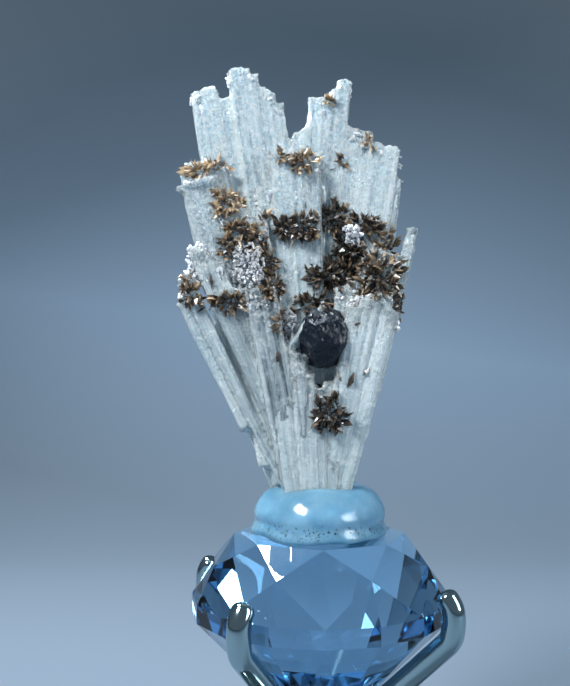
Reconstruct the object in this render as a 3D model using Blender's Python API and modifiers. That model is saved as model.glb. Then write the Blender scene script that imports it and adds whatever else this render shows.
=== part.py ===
"""A white aragonite cluster with brown and black crystals on it, stuck with putty to its display
stand: a faceted glass gem held by four metal prongs on a round foot.

Lengths are in metres. X is to the right, Y away from the front and Z up. The origin is the middle of
the foot's underside. Heights in the crystal tables are millimetres above the gem's flat top."""

import math
import random

import bmesh
import bpy
from mathutils import Matrix, Vector
from mathutils.bvhtree import BVHTree

MM = 0.001
GAP = 0.3 * MM

# The faceted gem, from its girdle's radius, which sets the size of everything else.
GIRDLE_RADIUS = 15.0 * MM
TABLE_RADIUS = GIRDLE_RADIUS * 2 / 3
CULET_RADIUS = 1.2 * MM
CROWN_HEIGHT = 7.0 * MM
GIRDLE_HEIGHT = 2.0 * MM
PAVILION_DEPTH = 13.5 * MM
CULET_Z = 8.5 * MM
GIRDLE_LOW_Z = CULET_Z + PAVILION_DEPTH
GIRDLE_HIGH_Z = GIRDLE_LOW_Z + GIRDLE_HEIGHT
TABLE_Z = GIRDLE_HIGH_Z + CROWN_HEIGHT
GEM_SIDES = 8

# The metal foot and the four prongs. Angles are counted from the front, towards the right.
FOOT_RADIUS = 15.0 * MM
FOOT_EDGE = 1.6 * MM
STEM_RADIUS = 3.6 * MM
BOSS_RADIUS = 5.4 * MM
BOSS_TOP_RADIUS = 2.4 * MM
PRONG_RADIUS = 1.3 * MM
PRONG_ANGLES = {
    "prong_front_left": -32,
    "prong_front_right": 58,
    "prong_back_right": 148,
    "prong_back_left": 238,
}

# The putty under the crystals, and how deep they stand in it.
PUTTY_RADIUS = 8.3 * MM
PUTTY_HEIGHT = 5.6 * MM
SPRAY_FOOT = 3.0

# Each group is a row of blades side by side. tops holds one blade each: its left and right edge and
# the height of its tip at either edge. lean is how far the group's left and right end shift to the
# right for each millimetre down, foot the height where the blades end, and depth the Y of the row's
# middle at the foot and at the tallest tip, with -Y towards the front.
GROUPS = {
    "back_left": {
        "tops": [(-15.5, -14.4, 52.2, 52.8), (-14.4, -12.4, 52.8, 53.4), (-12.4, -10.8, 52.1, 51.2),
                 (-11.0, -9.7, 54.8, 55.5), (-9.7, -8.4, 55.5, 55.2), (-8.4, -7.4, 55.1, 54.0),
                 (-7.5, -6.4, 53.1, 53.1), (-6.4, -5.3, 52.9, 52.0), (-5.4, -4.3, 51.1, 50.9)],
        "lean": (0.18, 0.12), "foot": 11.0, "depth": (0.2, 3.0), "thickness": 3.0},
    "back_right": {
        "tops": [(-3.1, -1.3, 47.6, 48.2), (-1.2, 0.4, 51.5, 51.5), (0.4, 1.5, 51.5, 52.0),
                 (1.4, 2.4, 52.4, 52.7), (2.3, 3.9, 54.1, 53.4), (3.7, 4.7, 48.1, 47.9),
                 (4.7, 6.3, 47.8, 47.2), (6.3, 8.6, 46.3, 46.1), (8.5, 9.7, 45.7, 45.5)],
        "lean": (-0.05, -0.08), "foot": 11.0, "depth": (0.2, 2.5), "thickness": 3.2},
    "middle": {
        "tops": [(-7.6, -5.7, 40.5, 40.5), (-5.7, -3.7, 44.0, 44.7), (-3.7, -2.0, 44.9, 44.7),
                 (-2.0, -0.1, 44.5, 44.0)],
        "lean": (0.10, 0.03), "foot": SPRAY_FOOT, "depth": (-0.8, -0.8), "thickness": 3.0},
    "left_back": {
        "tops": [(-16.4, -15.6, 41.0, 43.2), (-15.7, -13.8, 43.3, 43.7), (-13.8, -11.1, 43.7, 43.4)],
        "lean": (0.24, 0.18), "foot": 12.0, "depth": (-0.6, 0.6), "thickness": 3.0},
    "left_steps": {
        "tops": [(-12.4, -10.1, 39.3, 39.4), (-10.3, -8.0, 38.0, 37.7), (-8.2, -6.2, 36.7, 36.0)],
        "lean": (0.18, 0.12), "foot": 8.0, "depth": (-1.2, -1.4), "thickness": 2.6},
    "front_left": {
        "tops": [(-16.2, -14.8, 27.9, 31.4), (-15.1, -12.7, 32.8, 33.1), (-12.7, -11.1, 31.4, 31.2),
                 (-11.1, -8.5, 28.4, 28.1)],
        "lean": (0.50, 0.27), "foot": SPRAY_FOOT, "depth": (-1.5, -4.5), "thickness": 2.8},
    "front_column": {
        "tops": [(-8.5, -6.9, 28.0, 28.3), (-6.9, -5.3, 28.3, 28.0)],
        "lean": (0.20, 0.17), "foot": SPRAY_FOOT, "depth": (-2.3, -5.6), "thickness": 2.4},
    "front_low": {
        "tops": [(-5.8, -4.4, 17.6, 18.0), (-4.4, -3.1, 18.3, 18.4), (-3.2, -0.9, 18.8, 17.9),
                 (-1.0, 0.5, 17.1, 16.8), (0.4, 2.2, 17.6, 18.0)],
        "lean": (0.16, -0.05), "foot": SPRAY_FOOT, "depth": (-2.4, -4.6), "thickness": 2.4},
    "front_right": {
        "tops": [(1.7, 3.0, 18.9, 20.3), (2.8, 4.4, 25.4, 26.7), (4.3, 6.2, 26.9, 27.3),
                 (6.1, 7.8, 27.6, 27.4), (7.6, 8.8, 26.1, 25.2)],
        "lean": (-0.09, -0.27), "foot": SPRAY_FOOT, "depth": (-1.8, -5.0), "thickness": 2.8},
    "right_middle": {
        "tops": [(1.8, 4.9, 28.3, 29.5), (4.8, 7.6, 31.5, 33.1), (7.4, 9.4, 33.0, 32.0)],
        "lean": (-0.08, -0.18), "foot": 6.0, "depth": (-1.4, -2.6), "thickness": 2.6},
    "back_outer": {
        "tops": [(-13.6, -10.9, 36.5, 38.0), (-11.1, -8.2, 42.0, 43.5), (-8.4, -5.2, 46.0, 45.0),
                 (-5.4, -2.4, 41.0, 40.0), (-2.6, 0.4, 45.5, 46.5), (0.2, 3.2, 42.0, 40.5),
                 (3.0, 6.2, 37.0, 36.0)],
        "lean": (0.22, -0.12), "foot": SPRAY_FOOT, "depth": (1.0, 5.2), "thickness": 3.0},
    "back_low": {
        "tops": [(-12.6, -9.8, 21.5, 23.5), (-10.0, -6.6, 26.0, 27.5), (-6.8, -3.6, 30.0, 29.0),
                 (-3.8, -0.4, 24.5, 25.5), (-0.6, 2.6, 31.0, 29.5), (2.4, 5.8, 22.0, 20.5)],
        "lean": (0.34, -0.20), "foot": SPRAY_FOOT, "depth": (1.6, 6.4), "thickness": 2.6},
}
BLADE_OVERLAP = 1.08

# Single crystals: tip (x, y, height), foot (x, y, height), width, thickness, slope of the tip and
# turn about the crystal's length in degrees.
SINGLES = {
    "left_column": ((-14.1, -1.6, 40.4), (-5.4, -1.2, 6.0), 5.0, 4.2, 0.02, 24),
    "left_flake": ((-15.9, -4.0, 27.2), (-8.7, -2.9, 12.4), 1.4, 1.5, 0.7, 0),
    "right_sliver": ((9.6, 4.0, 42.6), (5.2, 1.4, 11.0), 1.8, 1.6, -0.5, 0),
    "right_needle": ((11.0, -1.0, 35.9), (6.6, -1.0, 16.0), 1.2, 1.2, -0.2, 10),
}

# Knots of small blocky crystals that roughen broken ends: middle (x, y, height), spread
# (x, y, height), size of a block, number.
KNOTS = {
    "left_glassy": ((-8.6, -3.4, 31.0), (1.6, 0.8, 2.0), 2.1, 5),
    "column_top": ((-14.2, -2.0, 40.3), (1.7, 1.2, 0.4), 1.7, 4),
    "left_ledge": ((-13.9, -4.6, 31.2), (1.0, 0.8, 1.5), 1.9, 4),
    "right_ledge": ((5.6, -5.2, 26.4), (2.4, 0.9, 0.8), 1.8, 5),
    "right_glassy": ((3.6, -2.4, 34.9), (0.6, 0.6, 0.7), 1.9, 2),
    "pit_rim": ((-3.9, -3.6, 23.6), (0.8, 1.0, 1.4), 2.0, 3),
    "back_ledge": ((-2.0, 6.6, 27.0), (4.0, 0.6, 2.2), 1.9, 3),
}

# The patches of small brown crystals: middle (x, height), half width and half height.
BROWN_FRONT = [
    (-14.2, 42.5, 1.5, 1.3), (-12.2, 43.0, 1.5, 1.4), (-10.4, 38.0, 1.9, 1.8), (-9.5, 34.6, 2.0, 2.0),
    (-7.0, 32.3, 1.3, 1.5), (-5.8, 29.9, 1.3, 1.9), (-4.2, 25.4, 1.1, 1.4), (-1.0, 27.3, 1.9, 1.1),
    (-4.3, 36.1, 1.9, 1.6), (-1.9, 35.6, 1.8, 1.9), (-4.5, 44.1, 0.9, 0.9), (-2.1, 43.5, 1.8, 1.7),
    (2.9, 44.0, 0.9, 1.0), (5.9, 46.5, 0.9, 0.9), (1.7, 37.5, 1.6, 1.4), (5.6, 36.2, 1.8, 1.6),
    (3.6, 33.4, 1.9, 2.2), (8.5, 34.2, 1.2, 1.7), (2.0, 30.5, 2.5, 1.7), (6.6, 29.8, 2.4, 2.0),
    (9.3, 26.8, 1.0, 1.3), (-15.6, 30.4, 0.8, 1.7), (-15.1, 27.2, 0.8, 1.6), (-10.4, 26.7, 1.8, 1.4),
    (3.2, 18.3, 0.9, 0.9), (1.0, 14.1, 1.9, 2.0),
]
BROWN_BACK = [(-3.6, 37.0, 2.4, 2.0), (-1.0, 35.4, 1.6, 1.4)]
BROWN_THICKNESS = 1.0 * MM
SPIKES_PER_AREA = 0.33
SPIKE_LENGTH = 2.6 * MM
SPIKE_WIDTH = 1.05 * MM

# The black crystal in the pit between the front blades.
BLACK_MIDDLE = (0.55, -4.6, 22.7)
BLACK_HALF = (2.95, 2.6, 3.35)

# Base colour, roughness and metallic value of each material.
COLOURS = {
    "white": ((0.80, 0.87, 0.90), 0.25, 0.0),
    "brown": ((0.12, 0.07, 0.035), 0.35, 0.0),
    "black": ((0.012, 0.014, 0.020), 0.30, 0.0),
    "putty": ((0.55, 0.72, 0.84), 0.35, 0.0),
    "blue_glass": ((0.16, 0.38, 0.70), 0.05, 0.0),
    "metal": ((0.62, 0.70, 0.72), 0.12, 1.0),
}


def clear_scene():
    for obj in list(bpy.data.objects):
        bpy.data.objects.remove(obj, do_unlink=True)


def new_collection(name, parent=None):
    made = bpy.data.collections.new(name)
    (parent or bpy.context.scene.collection).children.link(made)
    return made


def material(name):
    found = bpy.data.materials.get(name)
    if found:
        return found
    colour, roughness, metallic = COLOURS[name]
    made = bpy.data.materials.new(name)
    made.use_nodes = True
    shader = made.node_tree.nodes["Principled BSDF"]
    shader.inputs["Base Color"].default_value = (*colour, 1.0)
    shader.inputs["Roughness"].default_value = roughness
    shader.inputs["Metallic"].default_value = metallic
    return made


def at(x, y, height):
    """A point from millimetres, with its height counted from the gem's table."""
    return Vector((x * MM, y * MM, TABLE_Z + height * MM))


def random_vector(draw, size=1.0):
    return Vector([draw.uniform(-size, size) for _ in range(3)])


def add_mesh_object(name, mesh, collection, colour=None):
    """Makes an object from a bmesh, which this frees."""
    data = bpy.data.meshes.new(name)
    mesh.to_mesh(data)
    mesh.free()
    made = bpy.data.objects.new(name, data)
    collection.objects.link(made)
    if colour:
        data.materials.append(material(colour))
    return made


def hide_helper(obj):
    obj.hide_render = True
    obj.display_type = "WIRE"
    return obj


def face_groups(mesh):
    """The faces of a bmesh in groups that hang together across edges of exactly two faces."""
    left, groups = set(mesh.faces), []
    while left:
        group, queue = [], [left.pop()]
        while queue:
            face = queue.pop()
            group.append(face)
            for edge in face.edges:
                for other in edge.link_faces if len(edge.link_faces) == 2 else ():
                    if other in left:
                        left.remove(other)
                        queue.append(other)
        groups.append(group)
    return groups


def drop_crumbs(mesh):
    """Keeps the largest closed piece of a bmesh, for a Boolean leaves crumbs beside it."""
    groups = sorted(face_groups(mesh), key=lambda group: sum(face.calc_area() for face in group))
    for group in groups[:-1]:
        bmesh.ops.delete(mesh, geom=group, context="FACES")


def boolean(obj, operation, other=None, group=None):
    made = obj.modifiers.new(operation.lower(), "BOOLEAN")
    made.operation = operation
    made.solver = "EXACT"
    made.material_mode = "TRANSFER"
    if group:
        made.operand_type = "COLLECTION"
        made.collection = group
    else:
        made.object = other


def add_joined(name, pieces, collection, cutter=None):
    """One solid from overlapping helper objects, less the cutter where there is one. The pieces are
    removed, and the solid's faces keep their colours."""
    base, *rest = pieces
    if rest:
        group = new_collection(name + "_pieces")
        for piece in rest:
            group.objects.link(hide_helper(piece))
        boolean(base, "UNION", group=group)
    if cutter:
        boolean(base, "DIFFERENCE", other=cutter)
    bpy.context.view_layer.update()
    graph = bpy.context.evaluated_depsgraph_get()
    data = bpy.data.meshes.new_from_object(base.evaluated_get(graph))
    data.name = name
    mesh = bmesh.new()
    mesh.from_mesh(data)
    drop_crumbs(mesh)
    mesh.to_mesh(data)
    mesh.free()
    for piece in pieces:
        bpy.data.objects.remove(piece, do_unlink=True)
    if rest:
        bpy.data.collections.remove(group)
    made = bpy.data.objects.new(name, data)
    collection.objects.link(made)
    return made


def prism(tip, foot, tip_width, foot_width, thickness, slope, flat, turn, grow):
    """A six-sided crystal with two broad faces, as a bmesh. flat is the broad faces' share of the
    width, slope the rise of the tip across the width, and grow what is added all round."""
    axis = tip - foot
    mesh = bmesh.new()
    bmesh.ops.create_cone(mesh, cap_ends=True, segments=6, depth=axis.length + 2 * grow,
                          radius1=foot_width / 2 + grow, radius2=tip_width / 2 + grow)
    for vert in mesh.verts:
        radius = (tip_width if vert.co.z > 0 else foot_width) / 2 + grow
        across, through = vert.co.y / radius, vert.co.x / radius
        broad = abs(through) > 0.1
        vert.co.x = across * radius * (2 * flat if broad else 1)
        vert.co.y = math.copysign(thickness / 2 + grow, through) if broad else 0.0
        if vert.co.z > 0:
            vert.co.z += slope * vert.co.x
    bmesh.ops.recalc_face_normals(mesh, faces=mesh.faces)
    upward = axis.normalized()
    backward = (Vector((0, 1, 0)) - upward * upward.y).normalized()
    frame = Matrix((backward.cross(upward), backward, upward)).transposed().to_4x4()
    turned_frame = frame @ Matrix.Rotation(math.radians(turn), 4, "Z")
    mesh.transform(Matrix.Translation((tip + foot) / 2) @ turned_frame)
    return mesh


def group_blades(group, seed):
    """The sizes and places of each blade of a group."""
    draw = random.Random(seed)
    tops, foot = group["tops"], group["foot"]
    low_x, high_x = tops[0][0], tops[-1][1]
    tallest = max(max(heights) for _, _, *heights in tops)
    lean_low, lean_high = group["lean"]
    depth_foot, depth_tip = group["depth"]
    for left, right, height_left, height_right in tops:
        height = (height_left + height_right) / 2
        foot_left, foot_right = (
            x + (lean_low + (lean_high - lean_low) * (x - low_x) / (high_x - low_x)) * (height - foot)
            for x in (left, right))
        depth = depth_foot + (depth_tip - depth_foot) * (height - foot) / (tallest - foot)
        step = draw.uniform(-0.22, 0.22)
        yield {
            "tip": at((left + right) / 2, depth + step, height),
            "foot": at((foot_left + foot_right) / 2, depth_foot + step, foot),
            "tip_width": (right - left) * BLADE_OVERLAP * MM,
            "foot_width": max(foot_right - foot_left, 0.5) * BLADE_OVERLAP * MM,
            "thickness": group["thickness"] * MM,
            "slope": (height_right - height_left) / (right - left),
            "flat": draw.uniform(0.7, 0.85),
            "turn": draw.uniform(-4, 4),
        }


def single_crystal(tip, foot, width, thickness, slope, turn):
    return {"tip": at(*tip), "foot": at(*foot), "tip_width": width * MM, "foot_width": width * 0.8 * MM,
            "thickness": thickness * MM, "slope": slope, "flat": 0.5, "turn": turn}


def block(middle, size, draw, grow):
    """A small turned block, as a bmesh."""
    mesh = bmesh.new()
    bmesh.ops.create_cube(mesh, size=size + 2 * grow)
    turn = Matrix.Rotation(draw.uniform(0, math.pi), 4, random_vector(draw).normalized())
    mesh.transform(Matrix.Translation(middle) @ turn)
    return mesh


def white_pieces(grow):
    """Every white crystal as a bmesh, each made bigger by grow all round."""
    for seed, group in enumerate(GROUPS.values()):
        for blade in group_blades(group, seed):
            yield prism(**blade, grow=grow)
    for values in SINGLES.values():
        yield prism(**single_crystal(*values), grow=grow)
    for seed, (middle, spread, size, number) in enumerate(KNOTS.values()):
        draw = random.Random(100 + seed)
        for _ in range(number):
            place = [m + s * draw.uniform(-1, 1) for m, s in zip(middle, spread)]
            yield block(at(*place), size * draw.uniform(0.75, 1.2) * MM, draw, grow)


def add_white(name, helpers, grow=0.0):
    pieces = [add_mesh_object(f"{name}_{index}", piece, helpers, "white")
              for index, piece in enumerate(white_pieces(grow))]
    return add_joined(name, pieces, helpers)


def spindle(middle, direction, length, width):
    """A three-sided crystal pointed at both ends, as a bmesh."""
    mesh = bmesh.new()
    bmesh.ops.create_uvsphere(mesh, u_segments=3, v_segments=2, radius=0.5)
    turn = direction.to_track_quat("Z", "Y").to_matrix().to_4x4()
    mesh.transform(Matrix.Translation(middle) @ turn @ Matrix.Diagonal((width, width * 0.7, length, 1)))
    return mesh


def surface_depth(tree, x, height, side, half_x, half_z):
    """The Y of the white crystals' surface, the middle one of those met over a small patch."""
    met = []
    for across, up in ((0, 0), (0.5, 0), (-0.5, 0), (0, 0.5), (0, -0.5)):
        start = at(x + across * half_x, side * 30, height + up * half_z)
        place, *_ = tree.ray_cast(start, Vector((0, -side, 0)))
        if place:
            met.append(place.y)
    return sorted(met)[len(met) // 2]


def near_black_crystal(place):
    away = place - at(*BLACK_MIDDLE)
    return sum((a / (half * MM + SPIKE_LENGTH * 0.6)) ** 2 for a, half in zip(away, BLACK_HALF)) < 1


def brown_pieces(tree, patches, side, draw):
    """A flattened lump for each patch, with spikes all over it, as bmeshes."""
    for x, height, half_x, half_z in patches:
        depth = surface_depth(tree, x, height, side, half_x, half_z)
        middle = Vector((x * MM, depth, TABLE_Z + height * MM))
        size = Matrix.Diagonal((half_x * MM, BROWN_THICKNESS, half_z * MM, 1))
        lump = bmesh.new()
        bmesh.ops.create_icosphere(lump, subdivisions=1, radius=1.0)
        lump.transform(Matrix.Translation(middle) @ size @ Matrix.Rotation(draw.uniform(0, 1), 4, "Y"))
        yield lump
        for _ in range(round(SPIKES_PER_AREA * math.pi * half_x * half_z)):
            angle, reach = draw.uniform(0, 2 * math.pi), math.sqrt(draw.uniform(0.1, 1))
            spread = Vector((half_x * math.cos(angle), 0, half_z * math.sin(angle))) * reach * MM
            lift = side * (1 - 0.7 * reach) * BROWN_THICKNESS * 0.8
            away = spread.normalized() * reach + Vector((0, side * draw.uniform(0.2, 0.9), 0))
            direction = (away + random_vector(draw, 0.35)).normalized()
            root = middle + spread + Vector((0, lift, 0))
            length = SPIKE_LENGTH * draw.uniform(0.8, 1.3)
            if not near_black_crystal(root):
                yield spindle(root, direction, length, SPIKE_WIDTH)


def add_crystals(parts, helpers):
    """The white crystals with the small brown ones that grow on them, as one solid."""
    white = add_white("white_crystals", helpers)
    tree = BVHTree.FromObject(white, bpy.context.evaluated_depsgraph_get())
    draw = random.Random(41)
    brown = [*brown_pieces(tree, BROWN_FRONT, -1, draw), *brown_pieces(tree, BROWN_BACK, 1, draw)]
    brown = [add_mesh_object(f"brown_{index}", piece, helpers, "brown") for index, piece in enumerate(brown)]
    return add_joined("aragonite_crystals", [white, *brown], parts)


def add_black_crystal(parts, helpers, cutter):
    """A ball with planes cut through it, which leave a blocky crystal's flat faces."""
    draw = random.Random(7)
    mesh = bmesh.new()
    bmesh.ops.create_icosphere(mesh, subdivisions=2, radius=1.0)
    for _ in range(11):
        normal = random_vector(draw).normalized()
        everything = mesh.verts[:] + mesh.edges[:] + mesh.faces[:]
        cut = bmesh.ops.bisect_plane(mesh, geom=everything, plane_co=normal * draw.uniform(0.76, 0.86),
                                     plane_no=normal, clear_outer=True)
        rim = [edge for edge in cut["geom_cut"] if isinstance(edge, bmesh.types.BMEdge)]
        if rim:
            bmesh.ops.contextual_create(mesh, geom=rim)
    size = Matrix.Diagonal((*[half / 0.9 * MM for half in BLACK_HALF], 1))
    mesh.transform(Matrix.Translation(at(*BLACK_MIDDLE)) @ size)
    add_joined("black_crystal", [add_mesh_object("black_rough", mesh, helpers, "black")], parts, cutter)


def turned(name, profile, steps, collection, colour):
    """A solid turned about Z from (radius, z) points that run down its outer side."""
    mesh = bmesh.new()
    corners = [mesh.verts.new((radius, 0, z)) for radius, z in profile]
    for first, second in zip(corners, corners[1:]):
        mesh.edges.new((first, second))
    made = add_mesh_object(name, mesh, collection, colour)
    screw = made.modifiers.new("turn", "SCREW")
    screw.steps = screw.render_steps = steps
    screw.use_merge_vertices = True
    screw.merge_threshold = 0.00001
    screw.use_smooth_shade = True
    return made


def add_putty(parts, helpers, cutter):
    """A soft lump that has spread at its foot, with a pocket for the crystals' foot."""
    top, rim = PUTTY_HEIGHT, PUTTY_RADIUS
    profile = [(0, TABLE_Z + 0.96 * top), (0.36 * rim, TABLE_Z + top), (0.63 * rim, TABLE_Z + 0.91 * top),
               (0.84 * rim, TABLE_Z + 0.73 * top), (0.96 * rim, TABLE_Z + 0.52 * top),
               (rim, TABLE_Z + 0.32 * top), (0.95 * rim, TABLE_Z + 0.14 * top),
               (0.84 * rim, TABLE_Z + GAP), (0, TABLE_Z + GAP)]
    putty = turned("putty", profile, 28, parts, "putty")
    foot = bmesh.new()
    foot.from_mesh(cutter.data)
    everything = foot.verts[:] + foot.edges[:] + foot.faces[:]
    bmesh.ops.bisect_plane(foot, geom=everything, plane_co=(0, 0, TABLE_Z + PUTTY_HEIGHT + 1.5 * MM),
                           plane_no=(0, 0, 1), clear_outer=True)
    hull = bmesh.ops.convex_hull(foot, input=foot.verts)
    inside = {item for item in hull["geom_interior"] if item.is_valid}
    bmesh.ops.delete(foot, geom=[v for v in foot.verts if v in inside], context="VERTS")
    hull_faces = {item for item in hull["geom"] if isinstance(item, bmesh.types.BMFace)}
    bmesh.ops.delete(foot, geom=[f for f in foot.faces if f not in hull_faces], context="FACES")
    bmesh.ops.recalc_face_normals(foot, faces=foot.faces)
    boolean(putty, "DIFFERENCE", other=hide_helper(add_mesh_object("putty_pocket", foot, helpers)))


def ring(radius, z, count, turn=0.0):
    step = 2 * math.pi / count
    return [(radius * math.sin(step * (k + turn)), -radius * math.cos(step * (k + turn)), z)
            for k in range(count)]


def add_gem(parts):
    """A round brilliant cut as the hull of its rings of corners. Corners between the main faces lie
    on those faces' planes, so the faces stay flat."""
    half_step = math.cos(math.pi / GEM_SIDES)
    crown_slope = (GIRDLE_RADIUS - TABLE_RADIUS) / CROWN_HEIGHT
    pavilion_slope = (GIRDLE_RADIUS - CULET_RADIUS) / PAVILION_DEPTH
    star_drop, lower_drop = 0.4 * CROWN_HEIGHT, 0.7 * PAVILION_DEPTH
    star_radius = (TABLE_RADIUS + star_drop * crown_slope) / half_step
    lower_radius = (GIRDLE_RADIUS - lower_drop * pavilion_slope) / half_step
    mesh = bmesh.new()
    for corner in [
        *ring(TABLE_RADIUS, TABLE_Z, GEM_SIDES),
        *ring(star_radius, TABLE_Z - star_drop, GEM_SIDES, 0.5),
        *ring(GIRDLE_RADIUS, GIRDLE_HIGH_Z, 2 * GEM_SIDES),
        *ring(GIRDLE_RADIUS, GIRDLE_LOW_Z, 2 * GEM_SIDES),
        *ring(lower_radius, GIRDLE_LOW_Z - lower_drop, GEM_SIDES, 0.5),
        *ring(CULET_RADIUS, CULET_Z, GEM_SIDES),
    ]:
        mesh.verts.new(corner)
    bmesh.ops.convex_hull(mesh, input=mesh.verts)
    add_mesh_object("glass_gem", mesh, parts, "blue_glass")


def add_foot(parts):
    boss_top = CULET_Z - GAP
    shoulder = boss_top - (BOSS_RADIUS - BOSS_TOP_RADIUS)
    turned("metal_foot", [
        (0, boss_top),
        (BOSS_TOP_RADIUS, boss_top),
        (BOSS_RADIUS, shoulder),
        (BOSS_RADIUS - 0.4 * MM, shoulder - 0.8 * MM),
        (STEM_RADIUS, shoulder - 1.2 * MM),
        (STEM_RADIUS + 0.8 * MM, FOOT_EDGE + 1.4 * MM),
        (STEM_RADIUS + 3.0 * MM, FOOT_EDGE + 0.8 * MM),
        (FOOT_RADIUS - 0.8 * MM, FOOT_EDGE),
        (FOOT_RADIUS, FOOT_EDGE - 0.6 * MM),
        (FOOT_RADIUS - 0.2 * MM, 0),
        (0, 0),
    ], 32, parts, "metal")


def prong_line():
    """(radius, z) points of a prong's middle: up under the gem, past the girdle and over its edge."""
    off = PRONG_RADIUS + GAP
    slope = math.atan2(PAVILION_DEPTH, GIRDLE_RADIUS - CULET_RADIUS)
    top = Vector((GIRDLE_RADIUS + off * math.sin(slope), GIRDLE_LOW_Z - off * math.cos(slope)))
    run = top.x - BOSS_TOP_RADIUS - 1.2 * MM
    low = top - Vector((run, run * math.tan(slope)))
    out = GIRDLE_RADIUS + off
    return [
        tuple(low),
        tuple(top - Vector((0.5, 0.5)) * MM),
        (out - 0.25 * MM, top.y + 0.35 * MM),
        (out, GIRDLE_LOW_Z + 0.6 * MM),
        (out, GIRDLE_HIGH_Z - 0.1 * MM),
        (out - 0.22 * MM, GIRDLE_HIGH_Z + 0.7 * MM),
        (out - 0.65 * MM, GIRDLE_HIGH_Z + 1.4 * MM),
    ]


def add_prong(name, angle, parts):
    line = prong_line()
    curve = bpy.data.curves.new(name, "CURVE")
    curve.dimensions = "3D"
    curve.bevel_depth = PRONG_RADIUS
    curve.bevel_resolution = 3
    curve.use_fill_caps = True
    spline = curve.splines.new("POLY")
    spline.points.add(len(line) - 1)
    for point, (radius, z) in zip(spline.points, line):
        point.co = (radius, 0, z, 1)
    curve.materials.append(material("metal"))
    made = bpy.data.objects.new(name, curve)
    made.rotation_euler = (0, 0, math.radians(angle - 90))
    parts.objects.link(made)


def main():
    clear_scene()
    parts = new_collection("aragonite_cluster")
    helpers = new_collection("helpers")
    add_crystals(parts, helpers)
    cutter = hide_helper(add_white("crystal_cutter", helpers, GAP))
    add_black_crystal(parts, helpers, cutter)
    add_putty(parts, helpers, cutter)
    add_gem(parts)
    add_foot(parts)
    for name, angle in PRONG_ANGLES.items():
        add_prong(name, angle, parts)


main()
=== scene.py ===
"""The looks of the aragonite cluster: fine white laths, brown rosettes, sparkling knots, the black
crystal, the putty, the glass gem and its polished prongs and foot.

Lengths are in metres, and the crystal tables are in millimetres, with heights counted from the gem's
flat top, as in the part. -Y is the front."""

import math
import random

import bmesh
import bpy
from mathutils import Matrix, Vector, noise
from mathutils.bvhtree import BVHTree


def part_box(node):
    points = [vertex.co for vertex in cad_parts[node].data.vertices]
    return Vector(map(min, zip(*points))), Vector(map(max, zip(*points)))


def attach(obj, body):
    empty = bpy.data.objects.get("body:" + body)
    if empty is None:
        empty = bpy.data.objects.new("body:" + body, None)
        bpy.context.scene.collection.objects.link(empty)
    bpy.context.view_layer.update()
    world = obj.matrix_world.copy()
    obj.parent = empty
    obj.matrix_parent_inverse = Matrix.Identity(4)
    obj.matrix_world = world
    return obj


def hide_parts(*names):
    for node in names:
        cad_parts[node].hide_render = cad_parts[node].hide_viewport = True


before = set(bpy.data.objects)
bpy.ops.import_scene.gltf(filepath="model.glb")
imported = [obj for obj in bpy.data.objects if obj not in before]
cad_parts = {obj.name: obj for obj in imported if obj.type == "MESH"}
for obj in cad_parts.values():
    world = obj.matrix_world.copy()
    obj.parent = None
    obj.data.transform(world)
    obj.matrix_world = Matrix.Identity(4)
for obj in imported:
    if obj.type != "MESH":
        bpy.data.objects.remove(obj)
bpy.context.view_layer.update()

MM = 0.001
GEM_LOW, GEM_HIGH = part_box("glass_gem")
TABLE_Z = GEM_HIGH.z
GIRDLE_RADIUS = GEM_HIGH.x
PUTTY_LOW, PUTTY_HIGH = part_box("putty")
BLACK_LOW, BLACK_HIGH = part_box("black_crystal")
FOOT_LOW, FOOT_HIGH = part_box("metal_foot")

# The photograph's camera: its place beside the gem's axis, above the gem's table and in front of the
# axis, its focal length in widths of the image's longer side, and its tilt.
CAMERA_X = -4.07 * MM
CAMERA_ABOVE_TABLE = 20.06 * MM
CAMERA_DISTANCE = 106.2 * MM
CAMERA_FOCAL = 900 / 686
CAMERA_TILT = math.radians(1.21)

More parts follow.
